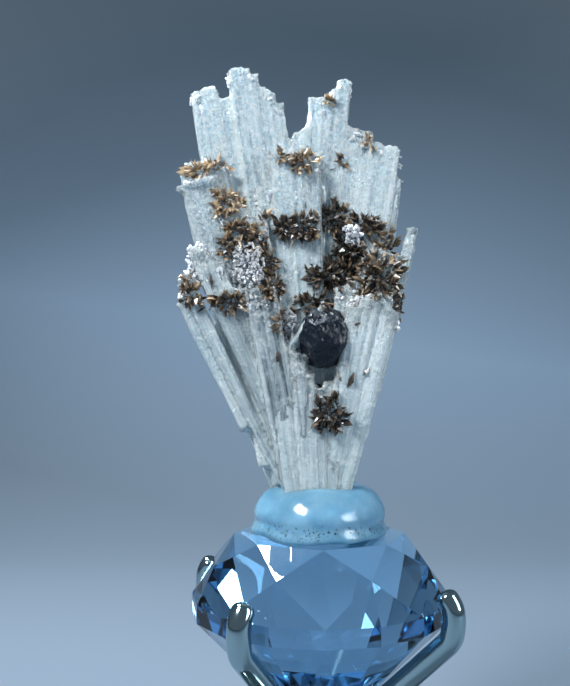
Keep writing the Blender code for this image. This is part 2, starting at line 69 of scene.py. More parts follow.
# Rows of white blades, as in the part. tops holds one blade each: its left and right edge and the
# height of its tip at either edge. lean is the shift to the right of the row's left and right end
# for each millimetre down.
SPRAY_FOOT = 3.0
GROUPS = {
    "back_left": {
        "tops": [(-15.5, -14.4, 52.2, 52.8), (-14.4, -12.4, 52.8, 53.4), (-12.4, -10.8, 52.1, 51.2),
                 (-11.0, -9.7, 54.8, 55.5), (-9.7, -8.4, 55.5, 55.2), (-8.4, -7.4, 55.1, 54.0),
                 (-7.5, -6.4, 53.1, 53.1), (-6.4, -5.3, 52.9, 52.0), (-5.4, -4.3, 51.1, 50.9)],
        "lean": (0.18, 0.12), "foot": 11.0, "depth": (0.2, 3.0), "thickness": 3.0},
    "back_right": {
        "tops": [(-3.1, -1.3, 47.6, 48.2), (-1.2, 0.4, 51.5, 51.5), (0.4, 1.5, 51.5, 52.0),
                 (1.4, 2.4, 52.4, 52.7), (2.3, 3.9, 54.1, 53.4), (3.7, 4.7, 48.1, 47.9),
                 (4.7, 6.3, 47.8, 47.2), (6.3, 8.6, 46.3, 46.1), (8.5, 9.7, 45.7, 45.5)],
        "lean": (-0.05, -0.155), "foot": 5.0, "depth": (0.2, 2.5), "thickness": 3.2},
    "middle": {
        "tops": [(-7.6, -5.7, 40.5, 40.5), (-5.7, -3.7, 44.0, 44.7), (-3.7, -2.0, 44.9, 44.7),
                 (-2.0, -0.1, 44.5, 44.0)],
        "lean": (0.10, 0.03), "foot": SPRAY_FOOT, "depth": (-0.8, 0.3), "thickness": 3.0},
    "left_back": {
        "tops": [(-16.4, -15.6, 41.0, 43.2), (-15.7, -13.8, 43.3, 43.7), (-13.8, -11.1, 43.7, 43.4)],
        "lean": (0.24, 0.18), "foot": 12.0, "depth": (-0.6, 0.6), "thickness": 3.0},
    "left_steps": {
        "tops": [(-12.4, -10.1, 39.3, 39.4), (-10.3, -8.0, 38.0, 37.7), (-8.2, -6.2, 36.7, 36.0)],
        "lean": (0.18, 0.12), "foot": 8.0, "depth": (-1.2, -1.4), "thickness": 2.6},
    "front_left": {
        "tops": [(-16.2, -14.8, 27.9, 31.4), (-15.1, -12.7, 32.8, 33.1), (-12.7, -11.1, 31.4, 31.2),
                 (-11.1, -8.5, 28.4, 28.1)],
        "lean": (0.50, 0.27), "foot": SPRAY_FOOT, "depth": (-1.5, -4.5), "thickness": 2.8},
    "front_column": {
        "tops": [(-8.5, -6.9, 28.0, 28.3), (-6.9, -5.3, 28.3, 28.0)],
        "lean": (0.20, 0.17), "foot": SPRAY_FOOT, "depth": (-2.3, -5.6), "thickness": 2.4},
    "front_low": {
        "tops": [(-5.8, -4.4, 17.6, 18.0), (-4.4, -3.1, 18.3, 18.4), (-3.2, -0.9, 18.8, 17.9),
                 (-1.0, 0.5, 17.1, 16.8), (0.4, 2.2, 17.6, 18.0)],
        "lean": (0.16, -0.05), "foot": SPRAY_FOOT, "depth": (-2.6, -3.9), "thickness": 2.4},
    "front_right": {
        "tops": [(1.7, 3.0, 18.9, 20.3), (2.8, 4.4, 25.4, 26.7), (4.3, 6.2, 26.9, 27.3),
                 (6.1, 7.8, 27.6, 27.4), (7.6, 8.8, 26.1, 25.2)],
        "lean": (-0.09, -0.27), "foot": SPRAY_FOOT, "depth": (-1.8, -5.0), "thickness": 2.8},
    "right_middle": {
        "tops": [(1.8, 4.9, 28.3, 29.5), (4.8, 7.6, 31.5, 33.1), (7.4, 9.4, 33.0, 32.0)],
        "lean": (-0.08, -0.23), "foot": 6.0, "depth": (-1.4, -2.6), "thickness": 2.6},
    "back_outer": {
        "tops": [(-13.6, -10.9, 36.5, 38.0), (-11.1, -8.2, 42.0, 43.5), (-8.4, -5.2, 46.0, 45.0),
                 (-5.4, -2.4, 41.0, 40.0), (-2.6, 0.4, 45.5, 46.5), (0.2, 3.2, 42.0, 40.5),
                 (3.0, 6.2, 37.0, 36.0)],
        "lean": (0.25, -0.12), "foot": SPRAY_FOOT, "depth": (1.0, 5.2), "thickness": 3.0},
    "back_low": {
        "tops": [(-12.6, -9.8, 21.5, 23.5), (-10.0, -6.6, 26.0, 27.5), (-6.8, -3.6, 30.0, 29.0),
                 (-3.8, -0.4, 24.5, 25.5), (-0.6, 2.6, 31.0, 29.5), (2.4, 5.8, 22.0, 20.5)],
        "lean": (0.40, -0.20), "foot": SPRAY_FOOT, "depth": (1.6, 6.4), "thickness": 2.6},
}
LATH_WIDTH = 1.3  # millimetres, the usual width of the laths that a blade is made of
CREST_LENGTH = 4.0  # millimetres, how far below its tip a blade is rough
VOXEL = 0.25 * MM  # grid that the laths grow together on
CRUMB_VERTS = 600  # loose pieces of that grid with fewer vertices are dropped
RIDGE_SIZE = 0.20 * MM  # height of the ridges along the blades
LUMP_SIZE = 0.26 * MM  # height of the lumps near their tips
BEAD_SIZE = 0.5 * MM  # small crystals on the blades' tips

# Single crystals: tip and foot (x, y, height), width at the tip and foot, thickness, slope of the
# tip and turn.
SINGLES = {
    "left_column": ((-14.1, -1.6, 40.4), (-4.7, -1.2, 6.0), 5.0, 1.8, 4.2, 0.02, 24),
    "left_flake": ((-15.9, -4.0, 27.2), (-8.7, -2.9, 12.4), 1.4, 1.1, 1.5, 0.7, 0),
    "right_sliver": ((9.6, 4.0, 42.6), (5.2, 1.4, 11.0), 1.8, 1.4, 1.6, -0.5, 0),
    "pit_ridge": ((0.5, -4.9, 26.3), (-4.3, -4.3, 21.0), 1.7, 1.4, 1.7, -0.4, 20),
    "pit_block": ((-2.5, -4.8, 20.9), (-1.6, -3.6, 10.0), 2.6, 2.1, 2.0, -0.5, 15),
    "right_needle": ((10.9, -1.0, 35.7), (6.4, -1.0, 16.0), 1.7, 1.2, 1.4, 0.25, 10),
}

# How clear a row of blades or a single crystal is, where it isn't cloudy white. There its colour turns
# dark grey: partly a smoky tone, partly painted darkness of what shows through it.
CLEAR = {"front_column": 0.85, "left_column": 0.3, "front_left": 0.3, "front_low": 0.3,
         "left_steps": 0.2, "front_right": 0.08, "pit_ridge": 0.2, "pit_block": 0.5,
         "right_needle": 0.25}

# Patches of brown crystals: middle (x, height), half width, half height, and shade from 0, nearly
# black, to 1, golden.
BROWN_FRONT = [
    (-14.4, 42.6, 1.7, 1.1, 0.85), (-12.4, 43.2, 1.6, 1.1, 0.75), (-10.5, 38.4, 2.0, 1.8, 0.8),
    (-9.2, 34.9, 1.9, 1.6, 0.6), (-10.7, 33.2, 1.0, 1.6, 0.5), (-7.4, 34.2, 1.2, 1.3, 0.45),
    (-6.1, 31.6, 1.2, 2.0, 0.5), (-5.5, 28.8, 1.4, 2.3, 0.45), (-4.0, 24.7, 1.3, 1.6, 0.5),
    (-0.9, 26.9, 2.3, 1.3, 0.35), (-6.6, 36.6, 0.8, 0.9, 0.6), (-4.2, 35.8, 1.8, 1.5, 0.3),
    (-1.9, 35.6, 1.8, 1.9, 0.3), (-4.5, 44.1, 0.8, 0.8, 0.75), (-2.0, 43.5, 1.7, 1.6, 0.7),
    (2.9, 44.0, 0.8, 0.9, 0.55), (6.2, 46.5, 0.8, 0.8, 0.7), (1.5, 37.3, 1.9, 1.8, 0.25),
    (5.6, 36.0, 2.1, 1.8, 0.35), (3.5, 33.1, 2.1, 2.5, 0.12), (8.4, 33.8, 1.6, 2.2, 0.65),
    (1.7, 30.2, 3.3, 2.0, 0.3), (6.5, 29.5, 2.8, 2.5, 0.4), (9.3, 26.8, 1.4, 1.6, 0.55),
    (-15.2, 30.6, 1.1, 1.9, 0.5), (-14.9, 27.6, 1.1, 1.8, 0.55), (-10.3, 26.8, 2.0, 1.4, 0.5),
    (-13.5, 26.9, 0.6, 0.8, 0.6), (1.0, 14.1, 2.1, 2.2, 0.2), (1.1, 51.2, 0.7, 0.7, 0.75),
]
BROWN_BACK = [(-3.6, 37.0, 2.4, 2.0, 0.4), (-1.0, 35.4, 1.6, 1.4, 0.3)]
# Lone petals on the front: place (x, height), angle in degrees from the right, and length.
LONE_PETALS = [
    (3.3, 18.1, 65, 2.2), (5.0, 19.0, 40, 1.8), (2.0, 18.4, 120, 1.5), (0.0, 17.3, -35, 1.4),
    (-4.9, 20.6, 80, 1.7), (3.9, 24.3, 10, 1.2), (-12.3, 29.2, 95, 1.9), (-13.4, 26.0, 35, 1.5),
    (-7.8, 27.2, 60, 1.2), (8.9, 24.9, 100, 1.3), (1.6, 43.0, 20, 0.9), (-1.7, 38.3, 80, 0.8),
]
PETAL_LENGTH = 1.25 * MM
PETALS_PER_AREA = 15  # for each square millimetre of a patch
PETAL_LIFT = 0.7 * MM  # how far a patch's middle bulges
PETAL_MARGIN = 0.4  # millimetres, how far petals reach out of the area that they root in
LONE_SHADE = 0.3

# Knots of small glassy crystals: middle (x, y, height), spread, size of a crystal, number.
KNOTS = {
    "left_glassy": ((-8.5, -3.3, 31.0), (2.2, 0.8, 2.9), 0.42, 420),
    "column_top": ((-14.2, -2.0, 40.5), (2.0, 1.3, 0.4), 0.5, 90),
    "left_ledge": ((-13.9, -4.5, 31.0), (1.4, 0.8, 2.6), 0.5, 130),
    "right_ledge": ((5.6, -5.1, 26.5), (2.9, 0.9, 1.1), 0.5, 170),
    "right_glassy": ((3.6, -3.9, 34.6), (1.0, 0.6, 1.1), 0.5, 60),
    "pit_rim": ((-3.6, -4.6, 24.0), (0.9, 0.8, 2.0), 0.5, 90),
    "back_ledge": ((-2.0, 6.6, 27.0), (4.2, 0.7, 2.4), 0.6, 150),
}

# Faces of the black crystal: normal and distance from its middle, as shares of its half size.
BLACK_FACES = [
    (0.25, -0.95, 0.12, 0.84), (-0.62, -0.75, 0.05, 0.84), (0.85, -0.4, -0.1, 1.0),
    (-0.1, -0.6, 0.8, 0.80), (0.05, -0.75, -0.62, 0.82), (-0.75, -0.35, -0.6, 0.86),
    (0.7, -0.35, -0.72, 0.88), (-0.85, -0.1, 0.55, 0.86), (0.65, -0.2, 0.72, 0.88),
    (0.0, 0.3, 1.0, 0.9), (0.0, 0.2, -1.0, 0.92), (0.0, 1.0, 0.0, 0.9),
    (-1.0, 0.1, -0.1, 0.95), (1.0, 0.2, 0.15, 0.95),
]

PRONG_ANGLES = {
    "prong_front_left": -32,
    "prong_front_right": 58,
    "prong_back_right": 148,
    "prong_back_left": 238,
}
PRONG_RADIUS = 1.3 * MM
PRONG_OFF_GEM = 0.3 * MM

# Heights in millimetres that the colours are counted against.
CLUSTER_TOP = 88.0
BACKDROP_TOP = 210.0
FLOOR_COLOUR = (0.078, 0.104, 0.137)
BACKDROP_LOW = (0.15, 0.21, 0.285)
BACKDROP_HIGH = (0.080, 0.115, 0.15)
# Painted light: the far floor is painted whiter to make up for the little light that reaches it.
FAR_FLOOR_PAINTED_LIGHT = (0.80, 0.85, 0.90)


# Helpers for meshes.

def at(x, y, height):
    """A point from millimetres, with its height counted from the gem's table."""
    return Vector((x * MM, y * MM, TABLE_Z + height * MM))


def random_vector(draw, size=1.0):
    return Vector([draw.uniform(-size, size) for _ in range(3)])


def add_object(name, data, material=None):
    made = bpy.data.objects.new(name, data)
    bpy.context.scene.collection.objects.link(made)
    if material:
        data.materials.append(material)
    return made


def mesh_from(name, mesh):
    """A mesh datablock from a bmesh, which this frees."""
    data = bpy.data.meshes.new(name)
    mesh.to_mesh(data)
    mesh.free()
    return data


def joined(name, pieces):
    """One mesh datablock from several bmeshes, which stay separate shells."""
    whole = bmesh.new()
    for piece in pieces:
        data = mesh_from("piece", piece)
        whole.from_mesh(data)
        bpy.data.meshes.remove(data)
    return mesh_from(name, whole)


def spun(profile, steps):
    """The bmesh that a profile of (radius, z) corners sweeps round the gem's axis."""
    mesh = bmesh.new()
    corners = [mesh.verts.new((radius, 0, z)) for radius, z in profile]
    edges = [mesh.edges.new(pair) for pair in zip(corners, corners[1:])]
    bmesh.ops.spin(mesh, geom=corners + edges, cent=(0, 0, 0), axis=(0, 0, 1), angle=2 * math.pi,
                   steps=steps, use_merge=True)
    bmesh.ops.remove_doubles(mesh, verts=mesh.verts, dist=0.01 * MM)
    bmesh.ops.recalc_face_normals(mesh, faces=mesh.faces)
    return mesh


def dress(piece, slot, *replaced):
    """Makes a piece of the object out of a new Blender object."""
    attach(piece, "root")
    if replaced:
        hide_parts(*replaced)


# Helpers for materials.

class Nodes:
    """A material's node tree, with short ways to add and link nodes."""

    def __init__(self, name):
        self.material = bpy.data.materials.new(name)
        self.material.use_nodes = True
        self.tree = self.material.node_tree
        self.shader = self.tree.nodes["Principled BSDF"]

    def add(self, kind, values=None, **properties):
        node = self.tree.nodes.new(kind)
        for name, value in properties.items():
            setattr(node, name, value)
        for name, value in (values or {}).items():
            self.set(node, name, value)
        return node

    def set(self, node, name, value):
        """value is a constant or another node's output."""
        socket = node.inputs[name]
        if isinstance(value, bpy.types.NodeSocket):
            self.tree.links.new(value, socket)
        else:
            socket.default_value = value

    def look(self, **values):
        for name, value in values.items():
            self.set(self.shader, name.replace("_", " "), value)

    def math(self, operation, first, second=0.0):
        node = self.add("ShaderNodeMath", operation=operation)
        self.set(node, 0, first)
        self.set(node, 1, second)
        return node.outputs[0]

    def combine(self, x, y, z):
        return self.add("ShaderNodeCombineXYZ", {"X": x, "Y": y, "Z": z}).outputs[0]

    def separate(self, vector):
        return self.add("ShaderNodeSeparateXYZ", {"Vector": vector}).outputs

    def attribute(self, name, output="Fac"):
        return self.add("ShaderNodeAttribute", attribute_name=name).outputs[output]

    def position(self):
        """Object coordinates in millimetres."""
        place = self.add("ShaderNodeTexCoord").outputs["Object"]
        scaled = self.add("ShaderNodeVectorMath", operation="SCALE")
        self.set(scaled, 0, place)
        self.set(scaled, "Scale", 1 / MM)
        return scaled.outputs[0]

    def noise(self, vector, scale, detail=3.0, roughness=0.55):
        return self.add("ShaderNodeTexNoise", {"Vector": vector, "Scale": scale, "Detail": detail,
                                               "Roughness": roughness}).outputs["Fac"]

    def ramp(self, value, *stops):
        """stops are (place, colour or grey value)."""
        node = self.add("ShaderNodeValToRGB", {"Fac": value})
        elements = node.color_ramp.elements
        while len(elements) < len(stops):
            elements.new(0.5)
        for element, (place, colour) in zip(elements, stops):
            element.position = place
            element.color = (*colour, 1) if isinstance(colour, tuple) else (colour, colour, colour, 1)
        return node.outputs["Color"]

    def mix(self, share, first, second, blend="MIX"):
        node = self.add("ShaderNodeMix", data_type="RGBA", blend_type=blend)
        self.set(node, "Factor", share)
        for index, value in ((6, first), (7, second)):
            if isinstance(value, tuple):
                value = (*value, 1)
            self.set(node, index, value)
        return node.outputs[2]

    def bump(self, height, strength, distance, normal=None):
        node = self.add("ShaderNodeBump", {"Height": height, "Strength": strength, "Distance": distance})
        if normal:
            self.set(node, "Normal", normal)
        return node.outputs[0]


def white_material():
    """Bluish-white translucent aragonite, striated along its blades and sugary near their tips."""
    n = Nodes("aragonite")
    across, along, crest = n.separate(n.attribute("grain", "Vector"))
    place = n.position()
    height = n.separate(place)[2]

    def streaks(wide, long, detail):
        stretched = n.combine(n.math("MULTIPLY", across, wide), n.math("MULTIPLY", along, long), 0.0)
        return n.noise(stretched, 1.0, detail)

    broad, lines, fine = streaks(0.5, 0.04, 2.0), streaks(1.9, 0.08, 4.0), streaks(7.0, 0.2, 3.0)
    sugar = n.noise(place, 2.2, 4.0, 0.7)
    clouds = n.noise(place, 0.4, 3.0)
    level = n.math("DIVIDE", height, CLUSTER_TOP)
    upper, lowest = n.ramp(level, (0.62, 0.0), (0.80, 1.0)), n.ramp(level, (0.40, 0.55), (0.54, 0.0))
    sugary = n.math("MAXIMUM", n.math("MULTIPLY", upper, 0.7), crest)
    cloudy = n.math("ADD", n.math("MULTIPLY", broad, 0.45), n.math("MULTIPLY", lines, 0.55))
    # Painted highlight: each lath is painted lighter toward its edges, for light collecting there and to
    # lift the shade in the grooves between laths.
    edge = n.ramp(n.attribute("edge"), (0.6, 0.0), (1.0, 0.5))
    # Painted glints: near the tips, spots of the sugar noise are painted near-white.
    painted_glints = n.math("MULTIPLY", sugary, n.ramp(sugar, (0.45, 0.0), (0.6, 1.0)))
    tone = n.ramp(cloudy, (0.37, (0.42, 0.54, 0.59)), (0.45, (0.66, 0.80, 0.86)),
                  (0.56, (0.88, 0.97, 1.0)))
    # Low on the blades the colour turns a lighter greenish white: partly their milky tone, partly a
    # painted glow.
    tone = n.mix(lowest, tone, (0.90, 0.98, 0.95))
    # Clear parts turn dark grey: partly a smoky tone, partly painted darkness of what shows through them.
    grey = n.ramp(lines, (0.38, (0.06, 0.08, 0.09)), (0.58, (0.38, 0.45, 0.49)))
    tone = n.mix(n.attribute("clear"), tone, grey)
    tone = n.mix(upper, tone, (0.89, 0.95, 1.0), "MULTIPLY")
    # Painted highlight along the laths' edges.
    tone = n.mix(edge, tone, (0.95, 1.0, 1.0))
    # Painted glints near the tips.
    tone = n.mix(painted_glints, tone, (0.97, 0.99, 1.0))
    tone = n.mix(n.ramp(clouds, (0.5, 0.0), (0.65, 0.4)), tone, (0.86, 0.94, 0.95))
    rough = n.ramp(n.noise(place, 0.8, 4.0), (0.35, 0.08), (0.65, 0.30))
    normal = n.bump(sugar, n.math("MULTIPLY_ADD", sugary, 0.85), 1.1 * MM)
    normal = n.bump(lines, 0.9, 0.5 * MM, normal)
    normal = n.bump(fine, 0.8, 0.18 * MM, normal)
    n.look(Base_Color=tone, Roughness=rough, IOR=1.6, Transmission_Weight=0.35, Subsurface_Weight=0.55,
           Subsurface_Radius=(0.9, 1.0, 1.1), Subsurface_Scale=1.6 * MM, Coat_Weight=0.6,
           Coat_Roughness=0.05, Normal=normal)
    return n.material


def glassy_material():
    """The small clear crystals of the sparkling knots."""
    n = Nodes("sparkling_aragonite")
    place = n.position()
    tone = n.ramp(n.noise(place, 0.6, 2.0), (0.4, (0.84, 0.88, 0.96)), (0.6, (0.96, 0.97, 1.0)))
    normal = n.bump(n.noise(place, 3.5, 3.0), 0.4, 0.08 * MM)
    rough = n.ramp(n.noise(place, 1.5, 2.0), (0.4, 0.05), (0.6, 0.2))
    n.look(Base_Color=tone, Roughness=rough, IOR=1.6,
           Transmission_Weight=0.45, Subsurface_Weight=0.7, Subsurface_Radius=(0.9, 1.0, 1.1),
           Subsurface_Scale=1.2 * MM, Normal=normal)
    return n.material


def brown_material():
    """Brown crystals. The attribute shade gives each patch's and each tip's place in the colours."""
    n = Nodes("brown_mineral")
    grain = n.noise(n.position(), 2.2, 4.0, 0.65)
    value = n.math("ADD", n.attribute("shade"), n.math("MULTIPLY", n.math("SUBTRACT", grain, 0.5), 0.9))
    tone = n.ramp(value, (0.0, (0.012, 0.009, 0.007)), (0.40, (0.048, 0.033, 0.021)),
                  (0.72, (0.16, 0.105, 0.060)), (1.0, (0.46, 0.33, 0.21)))
    n.look(Base_Color=tone, Roughness=n.ramp(grain, (0.35, 0.22), (0.7, 0.5)), IOR=1.6,
           Normal=n.bump(grain, 0.4, 0.06 * MM))
    return n.material


def black_material():
    """Blue-black, glossy below and rough on its top face."""
    n = Nodes("black_mineral")
    place = n.position()
    normal = n.add("ShaderNodeNewGeometry").outputs["True Normal"]
    top = n.ramp(n.separate(normal)[2], (0.45, 0.0), (0.75, 1.0))
    cells = n.add("ShaderNodeTexVoronoi", {"Vector": place, "Scale": 0.9}).outputs["Distance"]
    grain = n.noise(place, 1.8, 5.0, 0.65)
    tone = n.mix(n.math("MULTIPLY", top, grain), (0.003, 0.006, 0.012), (0.02, 0.030, 0.046))
    rough = n.mix(top, n.ramp(grain, (0.4, 0.20), (0.65, 0.45)), (0.5, 0.5, 0.5))
    normal = n.bump(grain, 0.35, 0.15 * MM)
    normal = n.bump(cells, 0.5, 0.35 * MM, normal)
    n.look(Base_Color=tone, Roughness=rough, IOR=1.45, Normal=normal)
    return n.material


def putty_material():
    """Pale blue and slightly clear, with darker patches and dark specks in its fold."""
    n = Nodes("putty")
    place = n.position()
    above_fold = n.math("SUBTRACT", n.separate(place)[2], TABLE_Z / MM + 1.3)
    near_fold = n.ramp(n.math("DIVIDE", n.math("ABSOLUTE", above_fold), 1.1), (0.1, 1.0), (1.0, 0.0))
    specks = n.ramp(n.noise(place, 3.6, 2.0, 0.5), (0.60, 0.0), (0.66, 1.0))
    darker_patches = n.ramp(n.noise(place, 0.9, 4.0, 0.6), (0.45, 0.0), (0.65, 0.5))
    tone = n.ramp(n.noise(place, 0.35, 3.0), (0.35, (0.19, 0.42, 0.60)), (0.65, (0.32, 0.57, 0.74)))
    # Darker, greyer patches along the fold.
    tone = n.mix(n.math("MULTIPLY", darker_patches, near_fold), tone, (0.16, 0.26, 0.30))
    tone = n.mix(n.math("MULTIPLY", specks, near_fold), tone, (0.03, 0.03, 0.03))
    normal = n.bump(n.noise(place, 1.0, 3.0), 0.25, 0.2 * MM)
    n.look(Base_Color=tone, Roughness=0.14, IOR=1.45, Transmission_Weight=0.6, Subsurface_Weight=0.8,
           Subsurface_Radius=(0.8, 1.1, 1.3), Subsurface_Scale=2.0 * MM, Normal=normal)
    return n.material


def gem_material():
    """Clear sky-blue glass: the colour comes from absorption, so thick parts are deeper."""
    n = Nodes("blue_glass")
    place = n.position()
    smears = n.ramp(n.noise(place, 0.25, 3.0), (0.4, 0.015), (0.7, 0.06))
    n.look(Base_Color=(0.93, 0.98, 1.0, 1), Roughness=smears, IOR=1.5, Transmission_Weight=1.0)
    absorption = n.add("ShaderNodeVolumeAbsorption", {"Color": (0.10, 0.62, 0.94, 1), "Density": 38.0})
    n.tree.links.new(absorption.outputs[0], n.tree.nodes["Material Output"].inputs["Volume"])
    return n.material


def metal_material():
    """Polished, with faint smears."""
    n = Nodes("polished_metal")
    place = n.position()
    smears = n.ramp(n.noise(place, 0.6, 4.0), (0.4, 0.05), (0.7, 0.14))
    # The dark teal base colour is painted reflection of the dark blue surroundings that the polished metal
    # mirrors.
    n.look(Base_Color=(0.36, 0.48, 0.51, 1), Metallic=1.0, Roughness=smears,
           Normal=n.bump(n.noise(place, 4.0, 2.0), 0.05, 0.02 * MM))
    return n.material


def stage_material():
    """A pale floor that turns to slate blue up the backdrop, and is painted whiter far from the object:
    painted light that makes up for the little light that reaches it there."""
    n = Nodes("stage")
    place = n.position()
    x, _, z = n.separate(place)
    distance = n.add("ShaderNodeVectorMath", {0: place}, operation="LENGTH").outputs["Value"]
    rise = n.math("ADD", z, n.math("MULTIPLY", x, 0.15))
    tone = n.ramp(n.math("DIVIDE", rise, BACKDROP_TOP), (0.0, FLOOR_COLOUR), (0.3, BACKDROP_LOW),
                  (1.0, BACKDROP_HIGH))
    # Painted light: whiter far from the object.
    tone = n.mix(n.ramp(n.math("DIVIDE", distance, 1000.0), (0.38, 0.0), (0.85, 1.0)), tone, FAR_FLOOR_PAINTED_LIGHT)
    n.look(Base_Color=tone, Roughness=0.9)
    return n.material


# The white crystals.

def lath(tip, foot, tip_width, foot_width, thickness, slope, flat, turn):
    """A six-sided crystal with a bevelled tip as a bmesh, with what find_grain needs of it."""
    axis = tip - foot
    mesh = bmesh.new()
    bmesh.ops.create_cone(mesh, cap_ends=True, segments=6, depth=axis.length,
                          radius1=foot_width / 2, radius2=tip_width / 2)
    for vert in mesh.verts:
        radius = (tip_width if vert.co.z > 0 else foot_width) / 2
        across, through = vert.co.y / radius, vert.co.x / radius
        broad = abs(through) > 0.1
        vert.co.x = across * radius * (2 * flat if broad else 1)
        vert.co.y = math.copysign(thickness / 2, through) if broad else 0.0
        if vert.co.z > 0:
            vert.co.z += slope * vert.co.x
    end = max(mesh.faces, key=lambda face: face.calc_center_median().z)
    bevel = min(tip_width, thickness) * 0.22
    bmesh.ops.inset_region(mesh, faces=[end], thickness=bevel, depth=0.0)
    for vert in end.verts:
        vert.co.z += bevel * 0.7
    bmesh.ops.recalc_face_normals(mesh, faces=mesh.faces)
    upward = axis.normalized()
    backward = (Vector((0, 1, 0)) - upward * upward.y).normalized()
    turned = Matrix((backward.cross(upward), backward, upward)).transposed().to_4x4()
    placed = Matrix.Translation((tip + foot) / 2) @ turned @ Matrix.Rotation(turn, 4, "Z")
    mesh.transform(placed)
    return mesh, (placed.inverted(), axis.length, foot_width, tip_width, tip.x)


def find_grain(place, owner, row):
    """A point's place across and along the blades of its row, how close it is to the tip, and how
    close to its own lath's edge.

    The first two are in millimetres, and run on from one lath to the next."""
    inverse, length, foot_width, tip_width, tip_x = owner
    x, y, z = inverse @ place
    width = foot_width + (tip_width - foot_width) * (z / length + 0.5)
    below_tip = (length / 2 - z) / MM
    across = (tip_x + x * tip_width / width + y) / MM + 37 * row
    crest = min(1.0, max(0.0, 1 - below_tip / CREST_LENGTH))
    return across, -below_tip, crest, min(1.0, 2 * abs(x) / width)


def group_laths(group, seed):
    """One or two laths for each blade, in a front and a back layer."""
    draw = random.Random(seed)
    tops, foot, thickness = group["tops"], group["foot"], group["thickness"]
    low_x, high_x = tops[0][0], tops[-1][1]
    tallest = max(max(heights) for _, _, *heights in tops)
    lean_low, lean_high = group["lean"]
    depth_foot, depth_tip = group["depth"]
    for left, right, height_left, height_right in tops:
        height = (height_left + height_right) / 2
        foot_left, foot_right = (
            x + (lean_low + (lean_high - lean_low) * (x - low_x) / (high_x - low_x)) * (height - foot)
            for x in (left, right))
        depth = depth_foot + (depth_tip - depth_foot) * (height - foot) / (tallest - foot)
        out = draw.uniform(-0.3, 0.3)
        for layer in (-1, 1):
            count = max(1, round((right - left) / LATH_WIDTH + draw.uniform(-0.4, 0.4)))
            cuts = sorted((step + draw.uniform(-0.2, 0.2)) / count for step in range(1, count))
            for low, high in zip([0.0, *cuts], [*cuts, 1.0]):
                middle = (low + high) / 2
                drop = draw.choice((0, 0.1, 0.3, 0.6)) if high - low < 1 else 0.0
                if layer > 0:
                    drop += draw.uniform(0.0, 1.2)
                shift = layer * thickness * 0.24 + out + draw.uniform(-0.10, 0.10)
                yield lath(
                    at(left + (right - left) * middle, depth + shift,
                       height_left + (height_right - height_left) * middle - drop),
                    at(foot_left + (foot_right - foot_left) * middle, depth_foot + shift, foot),
                    (right - left) * (high - low) * 1.18 * MM,
                    max((foot_right - foot_left) * (high - low), 0.4) * 1.5 * MM,
                    thickness * 0.56 * MM, draw.uniform(-0.25, 0.25), draw.uniform(0.90, 0.97),
                    math.radians(draw.uniform(-4, 4)))


def drop_islands(data):
    """Removes loose crumbs from a mesh datablock."""
    mesh = bmesh.new()
    mesh.from_mesh(data)
    left, crumbs = set(mesh.verts), []
    while left:
        island, rim = [], [left.pop()]
        while rim:
            vert = rim.pop()
            island.append(vert)
            near = {link.other_vert(vert) for link in vert.link_edges} & left
            left -= near
            rim += near
        if len(island) < CRUMB_VERTS:
            crumbs += island
    bmesh.ops.delete(mesh, geom=crumbs, context="VERTS")
    mesh.to_mesh(data)
    mesh.free()


